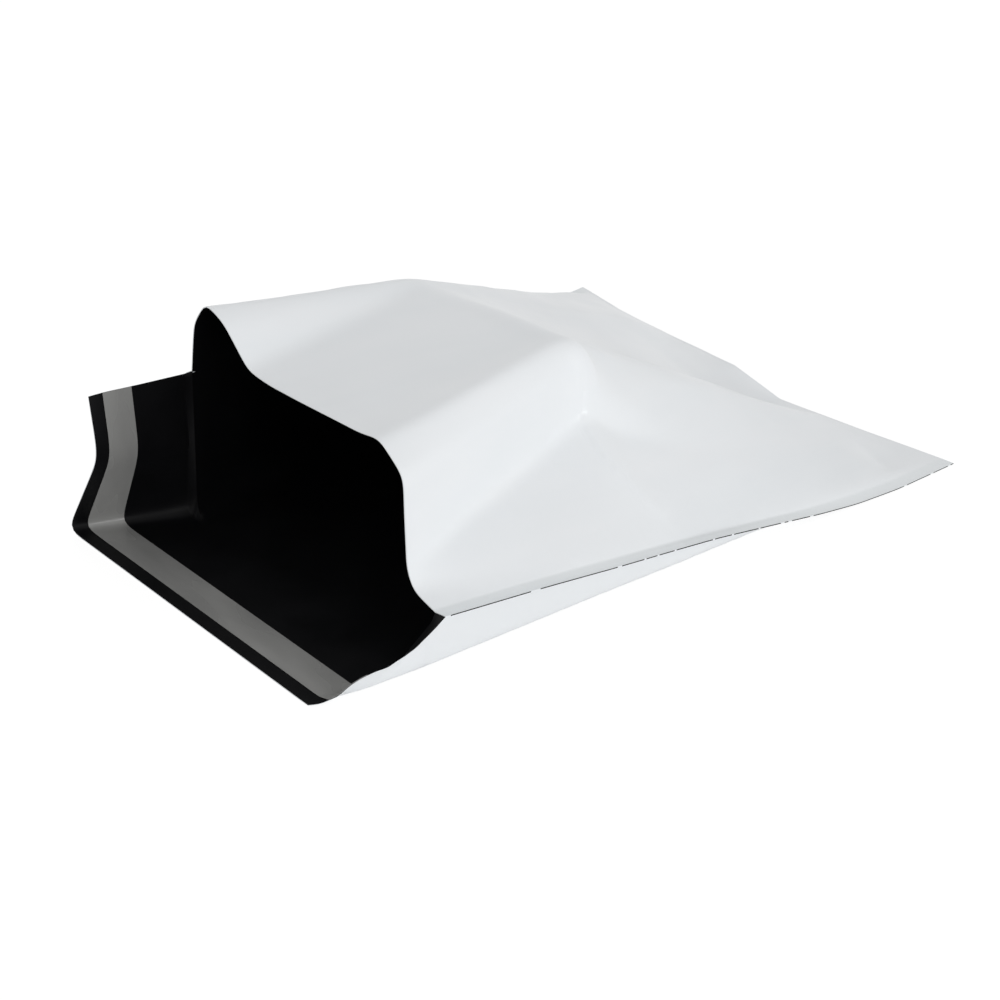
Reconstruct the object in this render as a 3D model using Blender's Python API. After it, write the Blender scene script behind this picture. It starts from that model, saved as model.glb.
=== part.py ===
"""Poly mailer: a side-welded film bag lying on its back with its mouth held open.

Units are metres, +Z is up. X runs across the bag, +Y from the mouth to the closed end,
and the closure flap reaches past the mouth towards -Y. The bag rests on Z = 0.
"""
import bpy
import numpy as np

# Flat sizes of the bag
BAG_WIDTH = 0.254
POUCH_DEPTH = 0.320
FLAP_LENGTH = 0.0495
FILM_THICKNESS = 0.0005
SEAL_WIDTH = 0.006
FOLD_PRESS = 0.003

# Pose: how far the load has lifted the front panel and the seams
LOAD_HEIGHT = 0.0855
PEAK_HEIGHT = 0.1055
NEAR_SEAM_LIFT = 0.0285
FAR_SEAM_LIFT = 0.0672
CLOSED_EDGE_LIFT = 0.0095
CLOSED_EDGE_DRAW = 0.012
CLOSED_EDGE_EASE = 0.60
FRONT_FAIRING = 0.006
BACK_FAIRING = 0.0055
LENGTHWISE_FAIRING = 0.009

# Closure strip on the inner face of the flap
LINER_WIDTH = 0.0145
LINER_MARGIN = 0.0063
LINER_THICKNESS = 0.0004
ADHESIVE_WIDTH = 0.0105
ADHESIVE_THICKNESS = 0.0005
CLEARANCE = 0.0003

# Mesh density
NEAR_COLUMN = 0.0055
FAR_COLUMN = 0.0080
MIDDLE_COLUMN = 0.0130
NEAR_FINE_REACH = 0.080
FAR_FINE_REACH = 0.092
POUCH_ROWS = 30
FINE_STEP = 0.002
STRIP_SPANS = 2
SMOOTH_BELOW_DEG = 50.0

# Long lines of the bag, from the mouth (0) to the closed end (1), and past the mouth to the
# flap's free edge (-1). Each point is (share of the pouch's depth or of the flap's length,
# share of the half width across, share of the named height). Heights are counted above
# the closed edge's own lift, which closed_edge() gives.
NEAR_SEAM = [(0.0, 0.925, 1.0), (0.16, 0.939, 0.84), (0.28, 0.936, 0.65), (0.40, 0.933, 0.48),
             (0.48, 0.937, 0.38), (0.59, 0.947, 0.21), (0.69, 0.966, 0.08), (0.77, 0.985, 0.02),
             (0.86, 1.002, 0.01), (0.93, 1.003, 0.0), (1.0, 1.0, 0.0)]
FAR_SEAM = [(0.0, -0.422, 1.0), (0.16, -0.528, 0.85), (0.37, -0.677, 0.67), (0.65, -0.811, 0.39),
            (0.85, -0.921, 0.19), (1.0, -1.0, 0.0)]

# Front panel, from the near seam to the far one: end of the ledge beside the seam, foot and
# top of the near wall, near edge of the flat top, the top just inside that edge, middle of
# the top, foot of the far ridge, crest of the far ridge, and the far wall below it. Heights
# are shares of LOAD_HEIGHT.
LEDGE = [(0.0, 0.775, 0.363), (0.09, 0.82, 0.333), (0.19, 0.855, 0.292), (0.28, 0.86, 0.24),
         (0.375, 0.86, 0.193), (0.46, 0.86, 0.144), (0.55, 0.87, 0.097), (0.67, 0.89, 0.05),
         (0.80, 0.92, 0.026), (0.91, 0.953, 0.012), (1.0, 0.99, 0.0)]
WALL_FOOT = [(0.0, 0.74, 0.54), (0.09, 0.71, 0.56), (0.19, 0.645, 0.585), (0.28, 0.587, 0.62),
             (0.375, 0.512, 0.667), (0.41, 0.488, 0.665), (0.46, 0.52, 0.49), (0.55, 0.55, 0.386),
             (0.67, 0.606, 0.228), (0.80, 0.693, 0.135), (0.91, 0.787, 0.02), (1.0, 0.906, 0.0)]
WALL_TOP = [(0.0, 0.717, 0.883), (0.09, 0.657, 0.883), (0.19, 0.59, 0.883), (0.28, 0.528, 0.883),
            (0.375, 0.457, 0.90), (0.41, 0.43, 0.942), (0.46, 0.425, 0.772), (0.55, 0.45, 0.573),
            (0.67, 0.472, 0.357), (0.80, 0.52, 0.21), (0.91, 0.614, 0.08), (1.0, 0.756, 0.0)]
SHOULDER = [(0.0, 0.606, 1.01), (0.09, 0.535, 1.01), (0.19, 0.472, 1.008), (0.28, 0.41, 1.005),
            (0.375, 0.362, 1.005), (0.41, 0.40, 1.012), (0.46, 0.374, 0.90), (0.55, 0.346, 0.75),
            (0.67, 0.32, 0.538), (0.80, 0.33, 0.327), (1.0, 0.472, 0.0)]
TOP_NEAR = [(0.0, 0.52, 0.99), (0.09, 0.45, 0.985), (0.19, 0.386, 0.982), (0.28, 0.323, 0.98),
            (0.37, 0.268, 0.982), (0.40, 0.283, 1.005), (0.46, 0.268, 0.898), (0.55, 0.252, 0.737),
            (0.67, 0.22, 0.52), (0.80, 0.22, 0.29), (0.88, 0.24, 0.12), (1.0, 0.315, 0.0)]
TOP_MIDDLE = [(0.0, 0.06, 0.97), (0.20, 0.06, 0.985), (0.36, 0.05, 0.986), (0.395, 0.05, 1.005),
              (0.60, 0.06, 0.60), (0.78, 0.03, 0.234), (0.88, 0.01, 0.05), (1.0, -0.03, 0.0)]
RIDGE_FOOT = [(0.0, -0.05, 0.985), (0.10, -0.10, 1.0), (0.20, -0.16, 1.0), (0.30, -0.25, 1.0),
              (0.365, -0.33, 0.995), (0.60, -0.36, 0.645), (0.70, -0.395, 0.52),
              (0.80, -0.425, 0.385), (0.89, -0.44, 0.24), (1.0, -0.45, 0.0)]
RIDGE_CREST = [(0.0, -0.276, 0.0), (0.16, -0.323, 1.13), (0.34, -0.375, 1.045),
               (0.37, -0.385, 1.02), (0.42, -0.42, 0.95), (0.50, -0.49, 0.83),
               (0.647, -0.645, 0.605), (0.79, -0.79, 0.37), (0.92, -0.92, 0.15),
               (1.0, -0.99, 0.0)]
FAR_WALL = [(0.0, -0.366, 1.05), (0.16, -0.42, 0.98), (0.37, -0.52, 0.77), (0.65, -0.724, 0.44),
            (1.0, -0.995, 0.0)]

# Back panel, from the near seam to the far one: near fold-up, near and far middle, far
# fold-up and the waist of the far wall. Heights are shares of FAR_SEAM_LIFT. The flap is
# the same panel carried on past the mouth.
NEAR_FOOT = [(-1.0, 0.785, 0.0), (-0.78, 0.825, 0.0), (-0.40, 0.85, 0.0), (0.0, 0.875, 0.0),
             (0.156, 0.895, 0.0), (0.394, 0.92, 0.0), (0.58, 0.94, 0.0), (0.69, 0.955, 0.0),
             (0.80, 0.97, 0.0), (1.0, 0.985, 0.0)]
BACK_NEAR = [(-1.0, 0.20, 0.0), (1.0, 0.20, 0.0)]
BACK_FAR = [(-1.0, -0.10, 0.0), (1.0, -0.10, 0.0)]
FAR_FOOT = [(-1.0, -0.58, 0.0), (-0.50, -0.50, 0.0), (0.0, -0.41, 0.0), (0.16, -0.45, 0.0),
            (0.36, -0.55, 0.0), (0.65, -0.70, 0.0), (0.85, -0.83, 0.0), (1.0, -0.90, 0.0)]
FAR_WAIST = [(-1.0, -0.345, 0.68), (-0.50, -0.375, 0.60), (0.0, -0.395, 0.50),
             (0.16, -0.49, 0.42), (0.36, -0.635, 0.33), (0.65, -0.765, 0.19),
             (0.85, -0.885, 0.08), (1.0, -0.97, 0.0)]

# Side edges of the flap, from its free edge back to the mouth.
FLAP_NEAR_EDGE = [(-1.0, 0.797, 0.0), (-0.87, 0.81, 0.03), (-0.71, 0.835, 0.24),
                  (-0.58, 0.853, 0.35), (-0.43, 0.858, 0.35), (-0.28, 0.87, 0.42),
                  (-0.14, 0.893, 0.65), (0.0, 0.925, 1.0)]
FLAP_FAR_EDGE = [(-1.0, -0.381, 1.065), (-0.87, -0.379, 1.07), (-0.58, -0.397, 1.04),
                 (0.0, -0.422, 1.0)]

# Closed edge, from the near corner (1) to the far one (-1): share of CLOSED_EDGE_LIFT that
# it stands off the floor, and share of CLOSED_EDGE_DRAW that it is drawn in by.
CLOSED_EDGE = [(1.0, 0.0, 0.0), (0.60, 0.0, 0.43), (0.20, 0.0, 0.78), (0.06, 0.65, 1.0),
               (-0.04, 1.0, 1.0), (-0.45, 1.05, 0.80), (-0.75, 1.2, 0.62), (-1.0, 1.526, 0.42)]

FILM_WHITE = (0.83, 0.84, 0.85, 1.0)
ADHESIVE_CLEAR = (0.55, 0.53, 0.46, 1.0)
LINER_GREY = (0.22, 0.22, 0.215, 1.0)
FILM_ROUGHNESS = 0.42
ADHESIVE_ROUGHNESS = 0.35
LINER_ROUGHNESS = 0.30


def clear_scene():
    for item in list(bpy.data.objects):
        bpy.data.objects.remove(item, do_unlink=True)


def make_material(name, colour, roughness):
    material = bpy.data.materials.new(name)
    material.use_nodes = True
    shader = material.node_tree.nodes["Principled BSDF"]
    shader.inputs["Base Color"].default_value = colour
    shader.inputs["Roughness"].default_value = roughness
    shader.inputs["Metallic"].default_value = 0.0
    return material


def fair(points, sigma, spacing):
    """Round a row of points by averaging, with its two ends kept."""
    points = points.copy()
    for _ in range(int(round(2.0 * (sigma / spacing) ** 2))):
        points[1:-1] = (points[:-2] + 2.0 * points[1:-1] + points[2:]) / 4.0
    return points


def resample(points, shares):
    """Points at the given shares of a polyline's length."""
    steps = np.linalg.norm(np.diff(points, axis=0), axis=1)
    length = np.concatenate([[0.0], np.cumsum(steps)])
    return np.stack([np.interp(shares * length[-1], length, points[:, axis])
                     for axis in range(points.shape[1])], axis=1)


def closed_edge(across):
    """Height of the closed edge and how far it is drawn in, at a share of the half width."""
    places = [row[0] for row in CLOSED_EDGE][::-1]
    lift = np.interp(across, places, [row[1] for row in CLOSED_EDGE][::-1])
    draw = np.interp(across, places, [row[2] for row in CLOSED_EDGE][::-1])
    return lift * CLOSED_EDGE_LIFT, draw * CLOSED_EDGE_DRAW


def long_line(table, height, places, start_height=None):
    """(x, z) of a long line of the bag at each of the given places along Y."""
    shares = np.array([row[0] for row in table])
    along = np.where(shares < 0.0, shares * FLAP_LENGTH, shares * POUCH_DEPTH)
    across = np.array([row[1] for row in table]) * BAG_WIDTH / 2.0
    heights = np.array([row[2] for row in table]) * height
    if start_height is not None:
        heights[0] = start_height
    steps = int(round((along[-1] - along[0]) / FINE_STEP))
    fine = np.linspace(along[0], along[-1], steps + 1)
    line = np.stack([np.interp(fine, along, across), np.interp(fine, along, heights)], axis=1)
    line = fair(line, LENGTHWISE_FAIRING, FINE_STEP)
    return np.stack([np.interp(places, fine, line[:, 0]),
                     FILM_THICKNESS + np.interp(places, fine, line[:, 1])], axis=1)


def column_shares():
    """Shares of a section's length, finer over the walls than over the flat middle."""
    length = BAG_WIDTH - 2.0 * SEAL_WIDTH
    near = np.arange(round(NEAR_FINE_REACH / NEAR_COLUMN)) * NEAR_COLUMN
    far = length - np.arange(round(FAR_FINE_REACH / FAR_COLUMN))[::-1] * FAR_COLUMN
    spans = max(2, round((far[0] - near[-1]) / MIDDLE_COLUMN))
    middle = np.linspace(near[-1], far[0], spans + 1)[1:-1]
    return np.concatenate([near, middle, far]) / length


def section(knots, fairing, shares):
    """One panel's section through its knots, faired and cut into columns."""
    steps = int(round(BAG_WIDTH / FINE_STEP))
    fine = resample(knots, np.linspace(0.0, 1.0, steps + 1))
    return resample(fair(fine, fairing, FINE_STEP), shares)


def seal_root(edge, front_knot, back_knot):
    """Where the two panels part, one seal width in from the cut edge."""
    front = (front_knot - edge) / np.linalg.norm(front_knot - edge)
    back = (back_knot - edge) / np.linalg.norm(back_knot - edge)
    return edge + SEAL_WIDTH * (front + back) / np.linalg.norm(front + back)


def place_row(cut, along):
    """Stand an (x, z) section at its y, lifted and drawn in towards the closed end."""
    lift, draw = closed_edge(np.clip(cut[:, 0] / (BAG_WIDTH / 2.0), -1.0, 1.0))
    start = CLOSED_EDGE_EASE * POUCH_DEPTH
    ease = np.clip((along - start) / (POUCH_DEPTH - start), 0.0, 1.0) ** 2
    return np.stack([cut[:, 0], along - draw * ease, cut[:, 1] + lift * ease], axis=1)


def pouch_rows():
    """Y of the pouch's rows, from the mouth to the closed edge."""
    return np.append(np.linspace(0.0, POUCH_DEPTH - FOLD_PRESS, POUCH_ROWS), POUCH_DEPTH)


def flap_rows():
    """Y of the flap's rows, from its free edge to just short of the mouth."""
    outer = FLAP_LENGTH - LINER_MARGIN
    inner = outer - LINER_WIDTH
    return -np.array([FLAP_LENGTH, outer, outer - LINER_WIDTH / 2.0, inner,
                      inner * 0.75, inner * 0.5, inner * 0.25])


def back_lines(rows):
    tables = (NEAR_FOOT, BACK_NEAR, BACK_FAR, FAR_FOOT, FAR_WAIST)
    return [long_line(table, FAR_SEAM_LIFT, rows) for table in tables]


def front_lines(rows):
    before_crest = (LEDGE, WALL_FOOT, WALL_TOP, SHOULDER, TOP_NEAR, TOP_MIDDLE, RIDGE_FOOT)
    lines = [long_line(table, LOAD_HEIGHT, rows) for table in before_crest]
    return lines + [long_line(RIDGE_CREST, LOAD_HEIGHT, rows, start_height=PEAK_HEIGHT),
                    long_line(FAR_WALL, LOAD_HEIGHT, rows)]


def panel_section(near_root, lines, far_root, fairing):
    """A panel between its two seal roots; none of its knots lies outside them."""
    knots = np.array([near_root] + lines + [far_root])
    knots[:, 0] = np.clip(knots[:, 0], far_root[0], near_root[0])
    return section(knots, fairing, column_shares())


def panels():
    """Inner faces of the front and back panels, each indexed by row and column."""
    rows = pouch_rows()
    near = long_line(NEAR_SEAM, NEAR_SEAM_LIFT, rows)
    far = long_line(FAR_SEAM, FAR_SEAM_LIFT, rows)
    over = front_lines(rows)
    under = back_lines(rows)
    front, back = [], []
    for row, along in enumerate(rows):
        near_root = seal_root(near[row], over[0][row], under[0][row])
        far_root = seal_root(far[row], over[-1][row], under[-1][row])
        faces = []
        for lines, fairing in ((over, FRONT_FAIRING), (under, BACK_FAIRING)):
            middle = panel_section(near_root, [line[row] for line in lines], far_root, fairing)
            faces.append(np.vstack([near[row], middle, far[row]]))
        if along >= POUCH_DEPTH - FOLD_PRESS:
            faces = [(faces[0] + faces[1]) / 2.0] * 2
        front.append(place_row(faces[0], along))
        back.append(place_row(faces[1], along))
    return np.array(front), np.array(back)


def flap():
    """Inner face of the flap, from its free edge to just short of the mouth."""
    rows = flap_rows()
    near = long_line(FLAP_NEAR_EDGE, NEAR_SEAM_LIFT, rows)
    far = long_line(FLAP_FAR_EDGE, FAR_SEAM_LIFT, rows)
    lines = [near] + back_lines(rows) + [far]
    seal = SEAL_WIDTH / BAG_WIDTH
    shares = np.concatenate([[0.0], seal + column_shares() * (1.0 - 2.0 * seal), [1.0]])
    return np.array([place_row(section(np.array([line[row] for line in lines]),
                                       BACK_FAIRING, shares), along)
                     for row, along in enumerate(rows)])


def normals(grid):
    """Upward-side unit normals of a grid of points."""
    along = np.gradient(grid, axis=0)
    across = np.gradient(grid, axis=1)
    normal = np.cross(along, across)
    return normal / np.linalg.norm(normal, axis=2, keepdims=True)


class Skin:
    """Collects points and faces of one closed mesh."""

    def __init__(self):
        self.points = []
        self.faces = []

    def grid(self, points):
        start = len(self.points)
        rows, columns = points.shape[:2]
        self.points.extend(points.reshape(-1, 3).tolist())
        return start + np.arange(rows * columns).reshape(rows, columns)

    def sheet(self, index, up):
        for row in range(index.shape[0] - 1):
            for column in range(index.shape[1] - 1):
                face = [index[row, column], index[row + 1, column],
                        index[row + 1, column + 1], index[row, column + 1]]
                self.faces.append(face if up else face[::-1])

    def strip(self, first, second):
        for place in range(len(first) - 1):
            self.faces.append([first[place], first[place + 1], second[place + 1], second[place]])

    def build(self, name, material):
        mesh = bpy.data.meshes.new(name)
        mesh.from_pydata(self.points, [], [[int(i) for i in face] for face in self.faces])
        mesh.materials.append(material)
        mesh.validate()
        mesh.shade_smooth()
        mesh.set_sharp_from_angle(angle=np.radians(SMOOTH_BELOW_DEG))
        item = bpy.data.objects.new(name, mesh)
        bpy.context.collection.objects.link(item)
        return item


def make_bag_film(front, back, flap_face):
    """The film: both panels, the seals round them and the flap, as one closed skin."""
    under_face = np.concatenate([flap_face, back])
    outer_front = front + FILM_THICKNESS * normals(front)
    outer_back = under_face - FILM_THICKNESS * normals(under_face)
    outer_back[:, :, 2] = np.maximum(outer_back[:, :, 2], 0.0)
    flap_count = len(flap_face)

    skin = Skin()
    top = skin.grid(outer_front)
    under = skin.grid(outer_back)
    inside_back = skin.grid(under_face[:flap_count + len(back) - 1])
    inside_front = skin.grid(front[:-1])
    mouth = flap_count

    # The front panel's inner face shares its rim along the seals with the back panel's.
    inside_front[:, 0] = inside_back[mouth:, 0]
    inside_front[:, 1] = inside_back[mouth:, 1]
    inside_front[:, -2] = inside_back[mouth:, -2]
    inside_front[:, -1] = inside_back[mouth:, -1]
    inside_front[-1] = inside_back[-1]

    skin.sheet(top, up=True)
    skin.sheet(under, up=False)
    skin.sheet(inside_back[:mouth + 1], up=True)
    skin.sheet(inside_back[mouth:, 1:-1], up=True)
    skin.sheet(inside_front[:, 1:-1], up=False)

    # Rim of the front panel at the mouth, then the flap's free edge and the closed edge.
    skin.strip(top[0], inside_front[0])
    skin.strip(inside_back[0], under[0])
    skin.strip(under[-1], top[-1])

    # Cut edges down both sides: single film beside the flap, double film beside the pouch.
    skin.strip(under[:mouth + 1, 0], inside_back[:mouth + 1, 0])
    skin.strip(inside_back[:mouth + 1, -1], under[:mouth + 1, -1])
    skin.faces.append([under[mouth, 0], under[mouth + 1, 0], top[1, 0],
                       top[0, 0], inside_back[mouth, 0]])
    skin.faces.append([inside_back[mouth, -1], top[0, -1], top[1, -1],
                       under[mouth + 1, -1], under[mouth, -1]])
    skin.strip(under[mouth + 1:, 0], top[1:, 0])
    skin.strip(top[1:, -1], under[mouth + 1:, -1])
    return skin


def drop_unused(skin):
    """Leave out points that no face uses."""
    used = sorted({int(i) for face in skin.faces for i in face})
    renumber = {old: new for new, old in enumerate(used)}
    skin.points = [skin.points[i] for i in used]
    skin.faces = [[renumber[int(i)] for i in face] for face in skin.faces]
    return skin


def make_strip(name, flap_face, width, lift, thickness, spans, material):
    """A flat strip across the whole flap, laid over its inner face."""
    rows = flap_rows()
    centre = -(FLAP_LENGTH - LINER_MARGIN - LINER_WIDTH / 2.0)
    places = np.linspace(centre - width / 2.0, centre + width / 2.0, spans + 1)
    face = np.empty((spans + 1,) + flap_face.shape[1:])
    normal = normals(flap_face)
    raised = np.empty_like(face)
    for column in range(flap_face.shape[1]):
        for axis in range(3):
            face[:, column, axis] = np.interp(places, rows, flap_face[:, column, axis])
            raised[:, column, axis] = np.interp(places, rows, normal[:, column, axis])
    skin = Skin()
    under = skin.grid(face + lift * raised)
    top = skin.grid(face + (lift + thickness) * raised)
    skin.sheet(top, up=True)
    skin.sheet(under, up=False)
    skin.strip(top[0], under[0])
    skin.strip(under[-1], top[-1])
    skin.strip(under[:, 0], top[:, 0])
    skin.strip(top[:, -1], under[:, -1])
    return skin.build(name, material)


def main():
    clear_scene()
    front, back = panels()
    flap_face = flap()
    film = make_material("white_film", FILM_WHITE, FILM_ROUGHNESS)
    hot_melt = make_material("hot_melt_adhesive", ADHESIVE_CLEAR, ADHESIVE_ROUGHNESS)
    liner = make_material("liner_tape", LINER_GREY, LINER_ROUGHNESS)
    drop_unused(make_bag_film(front, back, flap_face)).build("bag_film", film)
    make_strip("adhesive_strip", flap_face, ADHESIVE_WIDTH, CLEARANCE,
               ADHESIVE_THICKNESS, STRIP_SPANS, hot_melt)
    make_strip("release_liner", flap_face, LINER_WIDTH,
               CLEARANCE * 2.0 + ADHESIVE_THICKNESS, LINER_THICKNESS, STRIP_SPANS, liner)


main()
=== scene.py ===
"""Looks of a poly mailer: a white film bag, black inside, lying open with its flap laid out."""
import math
import random

import bpy
import numpy as np
from mathutils import Matrix, Vector, noise


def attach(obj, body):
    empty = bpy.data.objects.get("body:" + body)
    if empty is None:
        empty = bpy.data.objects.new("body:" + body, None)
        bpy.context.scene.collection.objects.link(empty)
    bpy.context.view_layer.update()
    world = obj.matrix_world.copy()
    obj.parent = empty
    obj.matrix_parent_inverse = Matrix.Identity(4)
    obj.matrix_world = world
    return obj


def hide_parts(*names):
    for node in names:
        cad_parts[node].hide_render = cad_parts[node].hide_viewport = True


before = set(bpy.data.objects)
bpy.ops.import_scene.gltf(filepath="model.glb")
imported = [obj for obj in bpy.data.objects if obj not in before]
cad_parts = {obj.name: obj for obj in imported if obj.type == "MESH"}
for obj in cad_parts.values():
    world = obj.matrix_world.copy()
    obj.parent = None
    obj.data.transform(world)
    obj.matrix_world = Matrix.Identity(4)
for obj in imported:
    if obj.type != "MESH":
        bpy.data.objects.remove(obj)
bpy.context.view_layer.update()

# Sizes below are in millimetres and the scene is in metres. PER_MM gives a pattern's scale
# from its real spacing.
MM = 0.001
PER_MM = 1000.0

# Film and closure strip. The film is drawn thicker than the real 0.064 mm, so that its two
# skins stay apart.
BAG_WIDTH = 254.0
POUCH_DEPTH = 320.0
FLAP_LENGTH = 49.5
FILM_THICKNESS = 0.40
WELD_WIDTH = 6.0
NEAR_WELD_LEAN = 0.82
FAR_WELD_LEAN = 0.58
CUT_THINNING = 0.45
FOLD_PRESS = 2.5
LINER_WIDTH = 14.5
LINER_MARGIN = 6.3
LINER_THICKNESS = 0.12
ADHESIVE_WIDTH = 10.5
ADHESIVE_THICKNESS = 0.15
LAYER_GAP = 0.06

# Mesh spacing, with each span of rows as (from, to, step), and how far the film rounds its
# folds, on the near side and on the far side
ROW_SPANS = [(0.0, 90.0, 2.5), (90.0, 195.0, 1.35), (195.0, 317.5, 2.4)]
NEAR_SPAN = 95.0
NEAR_STEP = 1.5
FAR_STEP = 2.6
FLAP_STEP = 1.5
LINE_STEP = 1.0
LENGTHWISE_FAIRING = 4.0
FRONT_FAIRING = (3.5, 3.5)
BACK_FAIRING = (3.0, 5.5)
FAIRING_CHANGE = 0.45
FAIRING_BLEND = 0.10
ADHESIVE_SPANS = 6
LINER_SPANS = 8
SHARP_ANGLE = 60.0

# Long lines of the film, each point (y, x, z). The near side is +x, the mouth is at y 0.
NEAR_SEAM = [(0, 117.5, 28.5), (51, 119.3, 23.9), (90, 118.9, 18.5), (128, 118.5, 13.7),
             (154, 119.0, 10.8), (189, 120.3, 6.0), (221, 122.7, 2.3), (246, 125.1, 0.6),
             (275, 127.2, 0.3), (320, 127.0, 0.0)]
FAR_SEAM = [(0, -53.6, 67.2), (51, -67.1, 57.1), (118, -86.0, 45.0), (208, -103.0, 26.2),
            (272, -117.0, 12.8), (320, -127.0, 0.0)]
LEDGE = [(0, 98.4, 31.0), (20, 102.0, 29.5), (40, 106.0, 27.5), (75, 109.0, 22.8),
         (108, 109.0, 17.8), (146, 109.0, 12.3), (175, 110.5, 8.3), (215, 113.0, 4.2),
         (256, 117.0, 2.2), (290, 121.0, 0.8), (320, 125.7, 0.0)]
WALL_FOOT = [(0, 94.0, 39.0), (20, 88.0, 39.5), (40, 81.0, 41.0), (75, 69.0, 42.0),
             (108, 59.0, 45.0), (122, 57.0, 49.0), (132, 57.0, 52.0), (146, 61.5, 41.0),
             (175, 70.0, 31.0), (215, 77.0, 20.5), (256, 88.0, 9.5), (280, 96.0, 5.0),
             (292, 100.0, 1.2), (320, 115.0, 0.0)]
WALL_TOP = [(0, 91.0, 76.0), (30, 81.0, 75.5), (60, 71.0, 75.5), (90, 62.0, 75.5),
            (120, 54.0, 76.5), (131, 54.0, 80.0), (138, 53.5, 69.0), (146, 53.0, 58.0),
            (175, 57.0, 42.0), (215, 60.0, 29.5), (256, 66.0, 16.0), (290, 78.0, 6.0),
            (306, 88.0, 1.0), (320, 96.0, 0.0)]
SHOULDER = [(0, 77.0, 86.5), (30, 71.0, 86.4), (60, 63.0, 86.2), (90, 55.0, 86.0),
            (120, 48.0, 86.0), (131, 52.0, 86.5), (137, 50.0, 78.0), (146, 47.5, 67.0),
            (155, 45.5, 61.0), (175, 44.0, 53.0), (215, 40.5, 41.0), (256, 42.0, 24.0),
            (320, 60.0, 0.0)]
TOP_NEAR = [(0, 66.0, 84.6), (30, 57.0, 84.2), (60, 49.0, 84.0), (90, 41.0, 83.8),
            (116, 34.0, 83.4), (127, 36.0, 86.2), (146, 34.0, 75.5), (175, 32.0, 60.0),
            (215, 28.0, 43.5), (256, 28.0, 24.5), (282, 30.0, 10.0), (302, 34.0, 1.5),
            (320, 40.0, 0.0)]
TOP_MIDDLE = [(0, 7.6, 83.0), (64, 7.6, 84.2), (116, 6.4, 84.3), (126, 6.4, 86.0),
              (192, 7.6, 51.0), (250, 4.0, 20.0), (280, 1.0, 4.5), (300, -2.0, 1.0),
              (320, -4.0, 0.0)]
RIDGE_FOOT = [(0, -7.0, 84.6), (32, -13.5, 85.0), (64, -21.5, 85.2), (96, -32.5, 85.3),
              (118, -41.9, 85.0), (192, -45.7, 55.0), (225, -50.0, 44.5), (256, -54.0, 33.0),
              (285, -56.0, 21.0), (320, -57.2, 0.0)]
RIDGE_SHOULDER = [(0, -24.0, 99.6), (25, -28.5, 97.0), (51, -33.0, 94.4), (80, -39.0, 91.4),
                  (110, -45.5, 88.3), (118, -46.0, 86.4), (134, -49.0, 80.3), (160, -55.0, 70.5),
                  (207, -70.0, 52.0), (253, -85.0, 33.0), (294, -95.0, 14.5), (320, -110.0, 0.0)]
RIDGE_CREST = [(0, -36.5, 104.2), (51, -41.0, 96.6), (109, -47.6, 89.3), (118, -48.9, 87.2),
               (134, -53.3, 81.2), (160, -62.2, 71.0), (207, -81.9, 51.7), (253, -100.3, 31.6),
               (294, -116.8, 12.8), (320, -125.7, 0.0)]
FAR_WALL = [(0, -45.8, 92.5), (20, -48.8, 89.5), (51, -53.3, 83.8), (118, -66.0, 65.8),
            (208, -91.9, 37.6), (320, -126.4, 0.0)]

NEAR_FOOT = [(-49.5, 97.0, 0.0), (-40.9, 101.5, 0.0), (-25.4, 105.0, 0.0), (-2.6, 107.0, 0.0),
             (38, 108.4, 0.0), (92, 110.3, 0.0), (150, 113.3, 0.0), (187, 116.0, 0.0),
             (212, 119.0, 0.0), (250, 123.7, 0.0), (320, 125.1, 0.0)]
BACK_NEAR = [(-49.5, 25.4, 0.0), (320, 25.4, 0.0)]
BACK_FAR = [(-49.5, -12.7, 0.0), (320, -12.7, 0.0)]
FAR_FOOT = [(-49.5, -73.7, 0.0), (-24.8, -63.5, 0.0), (0, -52.1, 0.0), (51, -57.2, 0.0),
            (115, -69.9, 0.0), (208, -88.9, 0.0), (272, -105.4, 0.0), (320, -114.3, 0.0)]
FAR_WAIST = [(-49.5, -43.8, 45.7), (-24.8, -47.6, 40.3), (0, -50.2, 33.6), (51, -62.2, 28.2),
             (115, -80.6, 22.2), (208, -97.2, 12.8), (272, -112.4, 5.4), (320, -123.2, 0.0)]
FLAP_NEAR_EDGE = [(-49.5, 98.5, 0.0), (-48.0, 101.0, 0.0), (-43.1, 103.3, 0.9), (-35.1, 106.0, 6.8),
                  (-28.7, 108.3, 10.0), (-21.3, 109.0, 10.0), (-13.9, 110.5, 12.0),
                  (-6.9, 113.4, 18.5), (0, 117.5, 28.5)]
FLAP_FAR_EDGE = [(-49.5, -48.4, 71.6), (-43.1, -48.1, 71.9), (-28.7, -50.4, 69.9),
                 (0, -53.6, 67.2)]

# Closed edge: (x, height off the floor, how far it is drawn in towards the mouth)
CLOSED_EDGE = [(-127.0, 14.5, 5.0), (-95.2, 11.4, 7.4), (-57.2, 10.0, 9.6), (-5.1, 9.5, 12.0),
               (7.6, 6.2, 12.0), (25.4, 0.0, 9.4), (76.2, 0.0, 5.2), (127.0, 0.0, 0.0)]
CLOSED_EDGE_START = 192.0

# Pulled creases in the front panel: points (x, y, z) along each, its depth (negative where it
# stands up as a ridge), and how far it reaches to its left and to its right as it runs.
CREASES = [
    ([(53, 132, 84), (58, 129, 70), (61, 127, 58), (72, 127, 48), (85, 130, 37),
      (96, 134, 27), (102, 139, 18)], -1.3, 24.0, 8.0),
    ([(84, 297, 5), (100, 291, 3), (115, 284, 1)], 0.6, 8.0, 8.0),
]
CREASE_FADE = 0.18

# How far the welded bands curl down at their roots
WELD_CURL = 0.5

# How far out along the flap the welds' lean dies away
FLAP_EASE = 30.0

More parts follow.
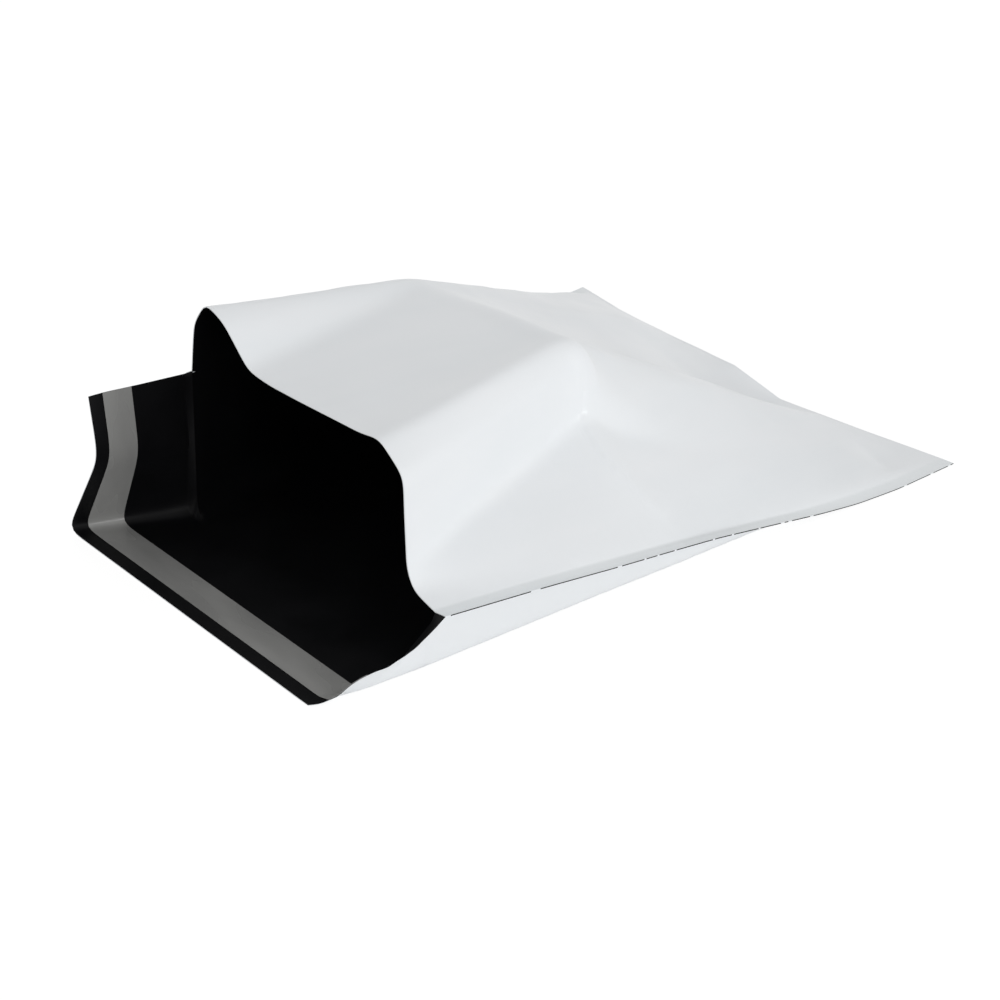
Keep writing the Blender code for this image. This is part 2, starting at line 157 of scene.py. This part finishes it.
# Soft wrinkles all over the front panel, puckers that run in from its side welds, and the
# wave of the flap's near edge: height and length of each, in millimetres.
WRINKLE_HEIGHT = 0.45
WRINKLE_LENGTH = 26.0
WRINKLE_MARGIN = 20.0
CLOSED_END_MARGIN = 12.0
PUCKER_HEIGHT = 0.9
PUCKER_LENGTH = 5.5
PUCKER_REACH = 9.0
PUCKER_START = 0.6
PUCKER_STRETCH = (0.25, 1.0, 0.25)
WAVE_HEIGHT = 0.9
WAVE_LENGTH = 6.5
WAVE_REACH = 7.0
WAVE_MARGIN = 12.0

# Most of the near cut edge takes the black film: partly the cut film's black layer, mostly a
# painted shadow along the seam's edge
RAGGED_SEED = 11
RAGGED_BLACK_AND_SHADE_SHARE = 0.93

# Camera, solved from the photograph
CAMERA_PLACE = (0.530425, -0.368272, 0.36624)
CAMERA_AZIMUTH = 46.406
CAMERA_PITCH = 27.45
CAMERA_ROLL = 2.853
CAMERA_LENS_MM = 62.6
SENSOR_MM = 36.0

# Studio, in metres: floor and backdrop, world light, and one long soft box low on the near side
FLOOR_REACH = 6.0
FLOOR_DROP = 0.0002
FLOOR_PAINT = (0.74, 0.74, 0.74, 1.0)
BACKDROP_PAINT = (0.22, 0.22, 0.22, 1.0)
BACKDROP_GLOW = 0.88
WHITE = (1.0, 1.0, 1.0, 1.0)
WORLD_LIGHT = 0.69
KEY_AIM = (0.0, 0.12, 0.03)
KEY_DIRECTION = (0.98, -0.02, 0.09)
KEY_DISTANCE = 1.6
KEY_WIDTH = 1.2
KEY_HEIGHT = 0.28
KEY_POWER = 8.6


def rgb(code):
    """Linear colour of an sRGB hex code."""
    channels = [int(code[i:i + 2], 16) / 255.0 for i in (1, 3, 5)]
    return tuple(c / 12.92 if c <= 0.04045 else ((c + 0.055) / 1.055) ** 2.4
                 for c in channels) + (1.0,)


def add_node(tree, kind, links=(), **settings):
    """Add a node, set its sockets and properties, and link outputs into its inputs."""
    node = tree.nodes.new(kind)
    for key, value in settings.items():
        if key in node.inputs:
            node.inputs[key].default_value = value
        else:
            setattr(node, key, value)
    for source, name, target in links:
        tree.links.new(source.outputs[name], node.inputs[target])
    return node


def fair(points, sigma, spacing):
    """Round a row of points by averaging, with its two ends kept."""
    points = points.copy()
    for _ in range(int(round(2.0 * (sigma / spacing) ** 2))):
        points[1:-1] = (points[:-2] + 2.0 * points[1:-1] + points[2:]) / 4.0
    return points


def resample(points, shares):
    """Points at the given shares of a polyline's length."""
    steps = np.linalg.norm(np.diff(points, axis=0), axis=1)
    length = np.concatenate([[0.0], np.cumsum(steps)])
    return np.stack([np.interp(shares * length[-1], length, points[:, axis])
                     for axis in range(points.shape[1])], axis=1)


def long_line(table, places):
    """(x, z) of one long line of the film at each place along y."""
    table = np.array(table, dtype=float)
    steps = int(round((table[-1, 0] - table[0, 0]) / LINE_STEP))
    fine = np.linspace(table[0, 0], table[-1, 0], steps + 1)
    line = np.stack([np.interp(fine, table[:, 0], table[:, axis]) for axis in (1, 2)], axis=1)
    line = fair(line, LENGTHWISE_FAIRING, LINE_STEP)
    return np.stack([np.interp(places, fine, line[:, 0]),
                     FILM_THICKNESS + np.interp(places, fine, line[:, 1])], axis=1)


def section(knots, fairing, shares):
    """A cross-section of the film through its knots, with its own fairing on either side."""
    steps = int(round(BAG_WIDTH / LINE_STEP))
    along = np.linspace(0.0, 1.0, steps + 1)
    fine = resample(knots, along)
    near, far = (fair(fine, sigma, LINE_STEP) for sigma in fairing)
    blend = np.clip((along - FAIRING_CHANGE) / FAIRING_BLEND, 0.0, 1.0)[:, None]
    return resample(near + blend * (far - near), shares)


def weld_root(edge, front_knot, back_knot, lean):
    """Where the two panels part, one weld's width in from the cut edge; lean is how far
    the front panel pulls the weld its own way."""
    front = (front_knot - edge) / np.linalg.norm(front_knot - edge)
    back = (back_knot - edge) / np.linalg.norm(back_knot - edge)
    inward = lean * front + (1.0 - lean) * back
    root = edge + WELD_WIDTH * inward / np.linalg.norm(inward)
    return root - np.array([0.0, min(WELD_CURL, max(root[1] - FILM_THICKNESS, 0.0))])


def stand_row(cut, along):
    """An (x, z) section as points at y, lifted and drawn in towards the closed edge."""
    places, lifts, draws = np.array(CLOSED_EDGE).T
    ease = np.clip((along - CLOSED_EDGE_START) / (POUCH_DEPTH - CLOSED_EDGE_START), 0.0, 1.0) ** 2
    return np.stack([cut[:, 0], along - ease * np.interp(cut[:, 0], places, draws),
                     cut[:, 1] + ease * np.interp(cut[:, 0], places, lifts)], axis=1)


def column_shares():
    """Shares of a section's length, finer over the near wall."""
    inner = BAG_WIDTH - 2.0 * WELD_WIDTH
    near = np.linspace(0.0, NEAR_SPAN, int(round(NEAR_SPAN / NEAR_STEP)) + 1)[:-1]
    far = np.linspace(NEAR_SPAN, inner, int(round((inner - NEAR_SPAN) / FAR_STEP)) + 1)
    return np.concatenate([near, far]) / inner


def pouch_rows():
    """Places along y, finer where the film drops behind the load."""
    spans = [np.linspace(start, end, int(round((end - start) / step)) + 1)[:-1]
             for start, end, step in ROW_SPANS]
    return np.concatenate(spans + [[POUCH_DEPTH - FOLD_PRESS, POUCH_DEPTH]])


def flap_rows():
    """Places along y over the flap, short of the mouth."""
    count = int(round(FLAP_LENGTH / FLAP_STEP))
    return np.linspace(-FLAP_LENGTH, 0.0, count + 1)[:-1]


def panel_lines(tables, rows):
    """Each table's long line at the given rows."""
    return [long_line(table, rows) for table in tables]


def panels():
    """Inner faces of the front and back panels, each indexed by row and column."""
    rows = pouch_rows()
    near, far = panel_lines((NEAR_SEAM, FAR_SEAM), rows)
    over = panel_lines((LEDGE, WALL_FOOT, WALL_TOP, SHOULDER, TOP_NEAR, TOP_MIDDLE,
                        RIDGE_FOOT, RIDGE_SHOULDER, RIDGE_CREST, FAR_WALL), rows)
    under = panel_lines((NEAR_FOOT, BACK_NEAR, BACK_FAR, FAR_FOOT, FAR_WAIST), rows)
    front, back = [], []
    for row, along in enumerate(rows):
        near_root = weld_root(near[row], over[0][row], under[0][row], NEAR_WELD_LEAN)
        far_root = weld_root(far[row], over[-1][row], under[-1][row], FAR_WELD_LEAN)
        faces = []
        for lines, fairing in ((over, FRONT_FAIRING), (under, BACK_FAIRING)):
            knots = np.array([near_root] + [line[row] for line in lines] + [far_root])
            knots[:, 0] = np.clip(knots[:, 0], far_root[0], near_root[0])
            middle = section(knots, fairing, column_shares())
            faces.append(np.vstack([near[row], middle, far[row]]))
        if along >= POUCH_DEPTH - FOLD_PRESS:
            faces = [(faces[0] + faces[1]) / 2.0] * 2
        front.append(stand_row(faces[0], along))
        back.append(stand_row(faces[1], along))
    return np.array(front), np.array(back)


def flap():
    """Inner face of the flap, from its free edge to just short of the mouth, where its near
    edge turns in to meet the weld."""
    rows = flap_rows()
    mouth = np.array([0.0])
    pull = (long_line(LEDGE, mouth) - long_line(NEAR_SEAM, mouth))[0]
    lines = panel_lines((FLAP_NEAR_EDGE, NEAR_FOOT, BACK_NEAR, BACK_FAR, FAR_FOOT, FAR_WAIST,
                         FLAP_FAR_EDGE), rows)
    near_mouth = np.clip(1.0 + rows / FLAP_EASE, 0.0, 1.0)
    ease = near_mouth ** 2 * (3.0 - 2.0 * near_mouth)
    weld = WELD_WIDTH / BAG_WIDTH
    inner = weld + column_shares() * (1.0 - 2.0 * weld)
    shares = np.concatenate([[0.0], inner, [1.0]])
    face = []
    for row, along in enumerate(rows):
        knots = np.array([line[row] for line in lines])
        knots[:, 0] = np.minimum(knots[:, 0], knots[0, 0])
        if ease[row] > 0.0:
            near, foot = knots[:2]
            straight = near + WELD_WIDTH * (foot - near) / np.linalg.norm(foot - near)
            leaning = weld_root(near, near + pull, foot, NEAR_WELD_LEAN)
            root = straight + ease[row] * (leaning - straight)
            knots = np.insert(knots, 1, root, axis=0)
        face.append(stand_row(section(knots, BACK_FAIRING, shares), along))
    return np.array(face)


def distance_to(points, path):
    """Distance of each point to a path, its side (+1 left, -1 right in plan) and its share
    of the path's length."""
    path = np.array(path, dtype=float)
    spans = np.linalg.norm(np.diff(path, axis=0), axis=1)
    starts = np.concatenate([[0.0], np.cumsum(spans)])
    nearest = np.full(points.shape[:-1], np.inf)
    side = np.zeros(points.shape[:-1])
    share = np.zeros(points.shape[:-1])
    for index, (start, end) in enumerate(zip(path[:-1], path[1:])):
        along = end - start
        part = np.clip((points - start) @ along / (along @ along), 0.0, 1.0)
        offset = points - (start + part[..., None] * along)
        distance = np.linalg.norm(offset, axis=-1)
        turn = along[0] * offset[..., 1] - along[1] * offset[..., 0]
        closer = distance < nearest
        nearest = np.where(closer, distance, nearest)
        side = np.where(closer, np.sign(turn), side)
        share = np.where(closer, (starts[index] + part * spans[index]) / starts[-1], share)
    return nearest, side, share


def crease(grid, path, depth, left, right):
    """Press a crease into a face: deepest on the path, fading out to both sides and ends."""
    distance, side, share = distance_to(grid, path)
    reach = np.where(side > 0.0, left, right)
    profile = np.clip(1.0 - distance / reach, 0.0, 1.0) ** 2
    fade = np.clip(np.minimum(share, 1.0 - share) / CREASE_FADE, 0.0, 1.0)
    return grid - normals(grid) * (depth * profile * fade * (2.0 - fade))[..., None]


def wavering(points, length):
    """Smooth noise between -1 and 1 at each point, with bumps of about the given length."""
    flat = points.reshape(-1, 3) / length
    return np.array([noise.noise(Vector(p)) for p in flat]).reshape(points.shape[:-1])


def from_edges(grid):
    """Distance of each point of a grid from the nearer of its two long sides, along its row."""
    steps = np.linalg.norm(np.diff(grid, axis=1), axis=2)
    length = np.concatenate([np.zeros((len(grid), 1)), np.cumsum(steps, axis=1)], axis=1)
    return np.minimum(length, length[:, -1:] - length)


def wrinkle(front):
    """Soft wrinkles over the front panel, with puckers beside its welds."""
    inward = from_edges(front)
    ends = np.clip((POUCH_DEPTH - front[:, :, 1]) / CLOSED_END_MARGIN, 0.0, 1.0)
    height = WRINKLE_HEIGHT * wavering(front, WRINKLE_LENGTH)
    height *= np.clip(inward / WRINKLE_MARGIN, 0.0, 1.0)
    stretched = front * np.array(PUCKER_STRETCH)
    beside = np.clip(inward / WELD_WIDTH - PUCKER_START, 0.0, 1.0)
    beside *= np.exp(-inward / PUCKER_REACH)
    height += PUCKER_HEIGHT * wavering(stretched, PUCKER_LENGTH) * beside
    return front + normals(front) * (height * ends)[..., None]


def wave(flap_face):
    """Let the near cut edge of the flap waver, more so away from the mouth."""
    face = flap_face.copy()
    reach = np.clip(1.0 - from_edges(face) / WAVE_REACH, 0.0, 1.0)
    reach[:, face.shape[1] // 2:] = 0.0
    reach *= np.clip(-face[:, :, 1] / WAVE_MARGIN, 0.0, 1.0)
    edge = np.repeat(face[:, :1], face.shape[1], axis=1)
    face[:, :, 0] += WAVE_HEIGHT * reach * wavering(edge, WAVE_LENGTH)
    return face


def normals(grid):
    """Upward-side unit normals of a grid of points."""
    normal = np.cross(np.gradient(grid, axis=0), np.gradient(grid, axis=1))
    return normal / np.maximum(np.linalg.norm(normal, axis=2, keepdims=True), 1e-9)


class Skin:
    """Collects the points and faces of one closed mesh, with a material index per face."""

    def __init__(self):
        self.points = []
        self.faces = []
        self.finishes = []
        self.weld = []

    def grid(self, points, weld=None):
        """Add a grid of points; weld says how far each one lies in a welded band."""
        start = len(self.points)
        weld = np.zeros(points.shape[:2]) if weld is None else weld
        self.weld.extend(weld.ravel().tolist())
        rows, columns = points.shape[:2]
        self.points.extend(points.reshape(-1, 3).tolist())
        return start + np.arange(rows * columns).reshape(rows, columns)

    def add(self, face, finish):
        """One face and the index of its material."""
        self.faces.append([int(i) for i in face])
        self.finishes.append(finish)

    def sheet(self, index, up, finish=0):
        """Faces over a grid. Both ways round start at the same corner, so that the two skins
        of a film split along the same diagonals and don't cut through each other."""
        for row in range(index.shape[0] - 1):
            for column in range(index.shape[1] - 1):
                face = [index[row, column], index[row + 1, column],
                        index[row + 1, column + 1], index[row, column + 1]]
                self.add(face if up else face[:1] + face[:0:-1], finish)

    def strip(self, first, second, finish=0):
        """A row of faces between two lines of points."""
        for place in range(len(first) - 1):
            self.add([first[place], first[place + 1], second[place + 1], second[place]], finish)

    def build(self, name, materials):
        """The mesh as an object, in metres, with its weld attribute and sharp edges."""
        used = sorted({i for face in self.faces for i in face})
        renumber = {old: new for new, old in enumerate(used)}
        mesh = bpy.data.meshes.new(name)
        mesh.from_pydata([tuple(c * MM for c in self.points[i]) for i in used], [],
                         [[renumber[i] for i in face] for face in self.faces])
        for material in materials:
            mesh.materials.append(material)
        mesh.polygons.foreach_set("material_index", self.finishes)
        weld = mesh.attributes.new("weld", "FLOAT", "POINT")
        weld.data.foreach_set("value", [self.weld[i] for i in used])
        mesh.shade_smooth()
        mesh.set_sharp_from_angle(angle=math.radians(SHARP_ANGLE))
        item = bpy.data.objects.new(name, mesh)
        bpy.context.collection.objects.link(item)
        return item


def film_skin(front, back, flap_face):
    """Both panels, their welds and the flap as one closed skin: white outside, black inside."""
    white, black = 0, 1
    under_face = np.concatenate([flap_face, back])
    outer_front = front + FILM_THICKNESS * normals(front)
    outer_back = under_face - FILM_THICKNESS * normals(under_face)
    for side in (0, -1):
        outer_front[:, side] += CUT_THINNING * (front - outer_front)[:, side]
        outer_back[:, side] += CUT_THINNING * (under_face - outer_back)[:, side]
    outer_back[:, :, 2] = np.maximum(outer_back[:, :, 2], 0.0)
    mouth = len(flap_face)

    skin = Skin()
    weld = np.zeros(under_face.shape[:2])
    weld[mouth:, (0, 1, -2, -1)] = 1.0
    top = skin.grid(outer_front, weld[mouth:])
    under = skin.grid(outer_back, weld)
    inside_back = skin.grid(under_face[:mouth + len(back) - 1])
    inside_front = skin.grid(front[:-1])
    for column in (0, 1, -2, -1):
        inside_front[:, column] = inside_back[mouth:, column]
    inside_front[-1] = inside_back[-1]

    skin.sheet(top, True, white)
    skin.sheet(under, False, white)
    skin.sheet(inside_back[:mouth + 1], True, black)
    skin.sheet(inside_back[mouth:, 1:-1], True, black)
    skin.sheet(inside_front[:, 1:-1], False, black)
    skin.strip(top[0], inside_front[0], white)
    skin.strip(inside_back[0], under[0], white)
    skin.strip(under[-1], top[-1], white)
    skin.strip(under[:mouth + 1, 0], inside_back[:mouth + 1, 0], white)
    skin.strip(inside_back[:mouth + 1, -1], under[:mouth + 1, -1], white)
    skin.add([under[mouth, 0], under[mouth + 1, 0], top[1, 0], top[0, 0],
              inside_back[mouth, 0]], white)
    skin.add([inside_back[mouth, -1], top[0, -1], top[1, -1], under[mouth + 1, -1],
              under[mouth, -1]], white)
    # Painted shadow: most faces of the near cut edge take the black film, as a dark line along the
    # seam, partly the black layer itself
    dice = random.Random(RAGGED_SEED)
    for row in range(1, len(top) - 1):
        finish = black if dice.random() < RAGGED_BLACK_AND_SHADE_SHARE else white
        skin.strip(under[mouth + row:mouth + row + 2, 0], top[row:row + 2, 0], finish)
    skin.strip(top[1:, -1], under[mouth + 1:, -1], white)
    return skin


def strip_skin(flap_face, width, lift, thickness, spans):
    """A strip laid over the flap's inner face, right across it."""
    rows = flap_rows()
    centre = -(FLAP_LENGTH - LINER_MARGIN - LINER_WIDTH / 2.0)
    places = np.linspace(centre - width / 2.0, centre + width / 2.0, spans + 1)
    normal = normals(flap_face)
    face = np.empty((spans + 1,) + flap_face.shape[1:])
    raised = np.empty_like(face)
    for column in range(flap_face.shape[1]):
        for axis in range(3):
            face[:, column, axis] = np.interp(places, rows, flap_face[:, column, axis])
            raised[:, column, axis] = np.interp(places, rows, normal[:, column, axis])
    skin = Skin()
    under = skin.grid(face + lift * raised)
    top = skin.grid(face + (lift + thickness) * raised)
    skin.sheet(top, True)
    skin.sheet(under, False)
    skin.strip(top[0], under[0])
    skin.strip(under[-1], top[-1])
    skin.strip(under[:, 0], top[:, 0])
    skin.strip(top[:, -1], under[:, -1])
    return skin


def base_material(name, roughness, ior):
    """A new material with its node tree and its shader."""
    material = bpy.data.materials.new(name)
    material.use_nodes = True
    shader = material.node_tree.nodes["Principled BSDF"]
    shader.inputs["Roughness"].default_value = roughness
    shader.inputs["IOR"].default_value = ior
    return material, material.node_tree, shader


def film_relief(tree, place, weld, peel_height, crinkle_height):
    """Surface of blown film: orange peel, die lines along the web and faint handling marks.
    Heights are in millimetres. The peel is coarser where the film is welded."""
    peel = add_node(tree, "ShaderNodeTexNoise", [(place, "Object", "Vector")],
                    Scale=PER_MM / 1.1, Detail=3.0, Roughness=0.6)
    coarser = add_node(tree, "ShaderNodeMath", [(weld, "Fac", 0)], operation="MULTIPLY_ADD")
    coarser.inputs[1].default_value = 3.0
    coarser.inputs[2].default_value = 1.0
    pressed = add_node(tree, "ShaderNodeMath", [(peel, "Fac", 0), (coarser, "Value", 1)],
                       operation="MULTIPLY")
    web = add_node(tree, "ShaderNodeMapping", [(place, "Object", "Vector")],
                   Scale=(1.0, 0.02, 1.0))
    lines = add_node(tree, "ShaderNodeTexNoise", [(web, "Vector", "Vector")],
                     Scale=PER_MM / 2.6, Detail=4.0, Roughness=0.55)
    crinkle = add_node(tree, "ShaderNodeTexNoise", [(place, "Object", "Vector")],
                       Scale=PER_MM / 13.0, Detail=2.0, Roughness=0.45, Distortion=0.6)
    first = add_node(tree, "ShaderNodeBump", [(crinkle, "Fac", "Height")],
                     Distance=crinkle_height * MM)
    second = add_node(tree, "ShaderNodeBump", [(lines, "Fac", "Height"),
                                               (first, "Normal", "Normal")],
                      Distance=0.5 * peel_height * MM)
    return add_node(tree, "ShaderNodeBump", [(pressed, "Value", "Height"),
                                             (second, "Normal", "Normal")],
                    Distance=peel_height * MM)


def white_ldpe_film():
    # Coextruded blown LDPE film, its outer layer filled with titanium white: satin, with the
    # black layer showing through faintly where the white runs thin.
    material, tree, shader = base_material("coextruded_blown_ldpe_white", 0.36, 1.51)
    place = add_node(tree, "ShaderNodeTexCoord")
    weld = add_node(tree, "ShaderNodeAttribute", attribute_name="weld")
    web = add_node(tree, "ShaderNodeMapping", [(place, "Object", "Vector")],
                   Scale=(1.0, 0.12, 1.0))
    thin = add_node(tree, "ShaderNodeTexNoise", [(web, "Vector", "Vector")],
                    Scale=PER_MM / 22.0, Detail=3.0, Roughness=0.5)
    white = add_node(tree, "ShaderNodeMixRGB", [(thin, "Fac", "Fac")],
                     Color1=rgb("#e7ebee"), Color2=rgb("#eff1f3"))
    sealed = add_node(tree, "ShaderNodeMixRGB", [(weld, "Fac", "Fac"), (white, "Color", "Color1")],
                      Color2=rgb("#e8ecee"))
    tree.links.new(sealed.outputs["Color"], shader.inputs["Base Color"])
    rub = add_node(tree, "ShaderNodeTexNoise", [(place, "Object", "Vector")],
                   Scale=PER_MM / 35.0, Detail=4.0, Roughness=0.6)
    satin = add_node(tree, "ShaderNodeMapRange", [(rub, "Fac", "Value")],
                     **{"From Min": 0.3, "From Max": 0.7, "To Min": 0.30, "To Max": 0.42})
    tree.links.new(satin.outputs["Result"], shader.inputs["Roughness"])
    shader.inputs["Specular IOR Level"].default_value = 0.65
    relief = film_relief(tree, place, weld, 0.012, 0.10)
    tree.links.new(relief.outputs["Normal"], shader.inputs["Normal"])
    return material


def black_ldpe_film():
    # Inner layer of the same coextruded film, filled with carbon black: deep and low in sheen.
    material, tree, shader = base_material("coextruded_blown_ldpe_black", 0.46, 1.51)
    place = add_node(tree, "ShaderNodeTexCoord")
    weld = add_node(tree, "ShaderNodeAttribute", attribute_name="weld")
    shade = add_node(tree, "ShaderNodeTexNoise", [(place, "Object", "Vector")],
                     Scale=PER_MM / 30.0, Detail=3.0)
    black = add_node(tree, "ShaderNodeMixRGB", [(shade, "Fac", "Fac")],
                     Color1=rgb("#060607"), Color2=rgb("#101012"))
    tree.links.new(black.outputs["Color"], shader.inputs["Base Color"])
    dull = add_node(tree, "ShaderNodeMapRange", [(shade, "Fac", "Value")],
                    **{"From Min": 0.3, "From Max": 0.7, "To Min": 0.42, "To Max": 0.54})
    tree.links.new(dull.outputs["Result"], shader.inputs["Roughness"])
    shader.inputs["Specular IOR Level"].default_value = 0.10
    relief = film_relief(tree, place, weld, 0.015, 0.12)
    tree.links.new(relief.outputs["Normal"], shader.inputs["Normal"])
    return material


def liner_film():
    # Silicone-coated polyethylene release liner, calendered thin: milky grey over the black
    # layer, with lighter patches where it has let go of the glue and faint ripples across.
    material, tree, shader = base_material("silicone_release_liner", 0.28, 1.50)
    place = add_node(tree, "ShaderNodeTexCoord")
    along = add_node(tree, "ShaderNodeMapping", [(place, "Object", "Vector")],
                     Scale=(0.30, 1.0, 0.30))
    patches = add_node(tree, "ShaderNodeTexNoise", [(along, "Vector", "Vector")],
                       Scale=PER_MM / 16.0, Detail=2.0, Roughness=0.45)
    grey = add_node(tree, "ShaderNodeMixRGB", [(patches, "Fac", "Fac")],
                    Color1=rgb("#7c7c7b"), Color2=rgb("#a4a4a2"))
    tree.links.new(grey.outputs["Color"], shader.inputs["Base Color"])
    shine = add_node(tree, "ShaderNodeMapRange", [(patches, "Fac", "Value")],
                     **{"From Min": 0.3, "From Max": 0.7, "To Min": 0.20, "To Max": 0.36})
    tree.links.new(shine.outputs["Result"], shader.inputs["Roughness"])
    ripples = add_node(tree, "ShaderNodeTexNoise", [(place, "Object", "Vector")],
                       Scale=PER_MM / 3.2, Detail=2.0)
    relief = add_node(tree, "ShaderNodeBump", [(ripples, "Fac", "Height")], Distance=0.05 * MM)
    tree.links.new(relief.outputs["Normal"], shader.inputs["Normal"])
    return material


def hot_melt():
    # Hot-melt pressure-sensitive adhesive laid down by a slot nozzle: clear to straw, glossy
    # and a little lumpy.
    material, tree, shader = base_material("slot_coated_hot_melt", 0.20, 1.48)
    place = add_node(tree, "ShaderNodeTexCoord")
    lumps = add_node(tree, "ShaderNodeTexNoise", [(place, "Object", "Vector")],
                     Scale=PER_MM / 2.4, Detail=3.0)
    straw = add_node(tree, "ShaderNodeMixRGB", [(lumps, "Fac", "Fac")],
                     Color1=rgb("#a9a184"), Color2=rgb("#c6bfa8"))
    tree.links.new(straw.outputs["Color"], shader.inputs["Base Color"])
    gloss = add_node(tree, "ShaderNodeMapRange", [(lumps, "Fac", "Value")],
                     **{"From Min": 0.3, "From Max": 0.7, "To Min": 0.14, "To Max": 0.28})
    tree.links.new(gloss.outputs["Result"], shader.inputs["Roughness"])
    relief = add_node(tree, "ShaderNodeBump", [(lumps, "Fac", "Height")], Distance=0.15 * MM)
    tree.links.new(relief.outputs["Normal"], shader.inputs["Normal"])
    return material


def make_floor():
    """White studio floor that keeps the bag's soft shadow."""
    mesh = bpy.data.meshes.new("studio_floor")
    corners = [(x * FLOOR_REACH, y * FLOOR_REACH, 0.0)
               for x, y in ((-1, -1), (1, -1), (1, 1), (-1, 1))]
    mesh.from_pydata(corners, [], [(0, 1, 2, 3)])
    floor = bpy.data.objects.new("studio_floor", mesh)
    bpy.context.collection.objects.link(floor)
    floor.location.z = -FLOOR_DROP
    material = bpy.data.materials.new("studio_floor_white")
    material.use_nodes = True
    tree = material.node_tree
    tree.nodes.clear()
    path = add_node(tree, "ShaderNodeLightPath")
    seen = add_node(tree, "ShaderNodeMath", [(path, "Is Camera Ray", 0),
                                             (path, "Is Glossy Ray", 1)], operation="MAXIMUM")
    shown = add_node(tree, "ShaderNodeMath", [(seen, "Value", 0),
                                              (path, "Is Transmission Ray", 1)],
                     operation="MAXIMUM")
    paint = add_node(tree, "ShaderNodeBsdfDiffuse", Color=FLOOR_PAINT)
    thin = add_node(tree, "ShaderNodeBsdfDiffuse", Color=BACKDROP_PAINT)
    glow = add_node(tree, "ShaderNodeEmission", Strength=BACKDROP_GLOW)
    backdrop = add_node(tree, "ShaderNodeAddShader")
    tree.links.new(thin.outputs[0], backdrop.inputs[0])
    tree.links.new(glow.outputs[0], backdrop.inputs[1])
    mix = add_node(tree, "ShaderNodeMixShader", [(shown, "Value", "Fac")])
    tree.links.new(paint.outputs[0], mix.inputs[1])
    tree.links.new(backdrop.outputs[0], mix.inputs[2])
    out = add_node(tree, "ShaderNodeOutputMaterial")
    tree.links.new(mix.outputs[0], out.inputs["Surface"])
    mesh.materials.append(material)


def make_world():
    """Even light from all round, seen as white by the camera and in reflections."""
    world = bpy.data.worlds.new("studio")
    bpy.context.scene.world = world
    world.use_nodes = True
    tree = world.node_tree
    tree.nodes.clear()
    path = add_node(tree, "ShaderNodeLightPath")
    light = add_node(tree, "ShaderNodeBackground", Color=WHITE, Strength=WORLD_LIGHT)
    white = add_node(tree, "ShaderNodeBackground", Color=WHITE, Strength=1.0)
    seen = add_node(tree, "ShaderNodeMath", [(path, "Is Camera Ray", 0),
                                             (path, "Is Glossy Ray", 1)], operation="MAXIMUM")
    mix = add_node(tree, "ShaderNodeMixShader", [(seen, "Value", "Fac")])
    tree.links.new(light.outputs[0], mix.inputs[1])
    tree.links.new(white.outputs[0], mix.inputs[2])
    out = add_node(tree, "ShaderNodeOutputWorld")
    tree.links.new(mix.outputs[0], out.inputs["Surface"])


def make_light():
    """A soft box that looks at the middle of the bag."""
    data = bpy.data.lights.new("key_strip", "AREA")
    data.shape = "RECTANGLE"
    data.size = KEY_WIDTH
    data.size_y = KEY_HEIGHT
    data.energy = KEY_POWER
    light = bpy.data.objects.new("key_strip", data)
    direction = Vector(KEY_DIRECTION).normalized()
    light.location = Vector(KEY_AIM) + direction * KEY_DISTANCE
    light.rotation_mode = "QUATERNION"
    light.rotation_quaternion = direction.to_track_quat("Z", "Y")
    bpy.context.collection.objects.link(light)


def make_camera():
    """The camera at the photograph's viewing angle."""
    data = bpy.data.cameras.new("camera")
    data.lens = CAMERA_LENS_MM
    data.sensor_width = SENSOR_MM
    camera = bpy.data.objects.new("camera", data)
    azimuth, pitch, roll = (math.radians(a) for a in (CAMERA_AZIMUTH, CAMERA_PITCH, CAMERA_ROLL))
    level = Vector((math.cos(azimuth), math.sin(azimuth), 0.0))
    ahead = Vector((-math.sin(azimuth), math.cos(azimuth), 0.0))
    forward = ahead * math.cos(pitch) - Vector((0, 0, 1)) * math.sin(pitch)
    upward = ahead * math.sin(pitch) + Vector((0, 0, 1)) * math.cos(pitch)
    right = level * math.cos(roll) + upward * math.sin(roll)
    top = upward * math.cos(roll) - level * math.sin(roll)
    turn = Matrix((right, top, -forward)).transposed().to_4x4()
    camera.matrix_world = Matrix.Translation(CAMERA_PLACE) @ turn
    bpy.context.collection.objects.link(camera)
    bpy.context.scene.camera = camera


def main():
    front, back = panels()
    flap_face = wave(flap())
    for path, depth, left, right in CREASES:
        front = crease(front, path, depth, left, right)
    front = wrinkle(front)
    white, black = white_ldpe_film(), black_ldpe_film()
    film = film_skin(front, back, flap_face).build("mailer_film", [white, black])
    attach(film, "root")
    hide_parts("bag_film")

    melt = strip_skin(flap_face[:, 1:-1], ADHESIVE_WIDTH, LAYER_GAP, ADHESIVE_THICKNESS,
                      ADHESIVE_SPANS)
    melt = melt.build("adhesive_line", [hot_melt()])
    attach(melt, "root")
    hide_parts("adhesive_strip")

    liner = strip_skin(flap_face, LINER_WIDTH, 2.0 * LAYER_GAP + ADHESIVE_THICKNESS,
                       LINER_THICKNESS, LINER_SPANS)
    liner = liner.build("peel_off_liner", [liner_film()])
    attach(liner, "root")
    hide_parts("release_liner")

    make_floor()
    make_world()
    make_light()
    make_camera()
    bpy.context.scene.view_settings.view_transform = "Standard"


main()
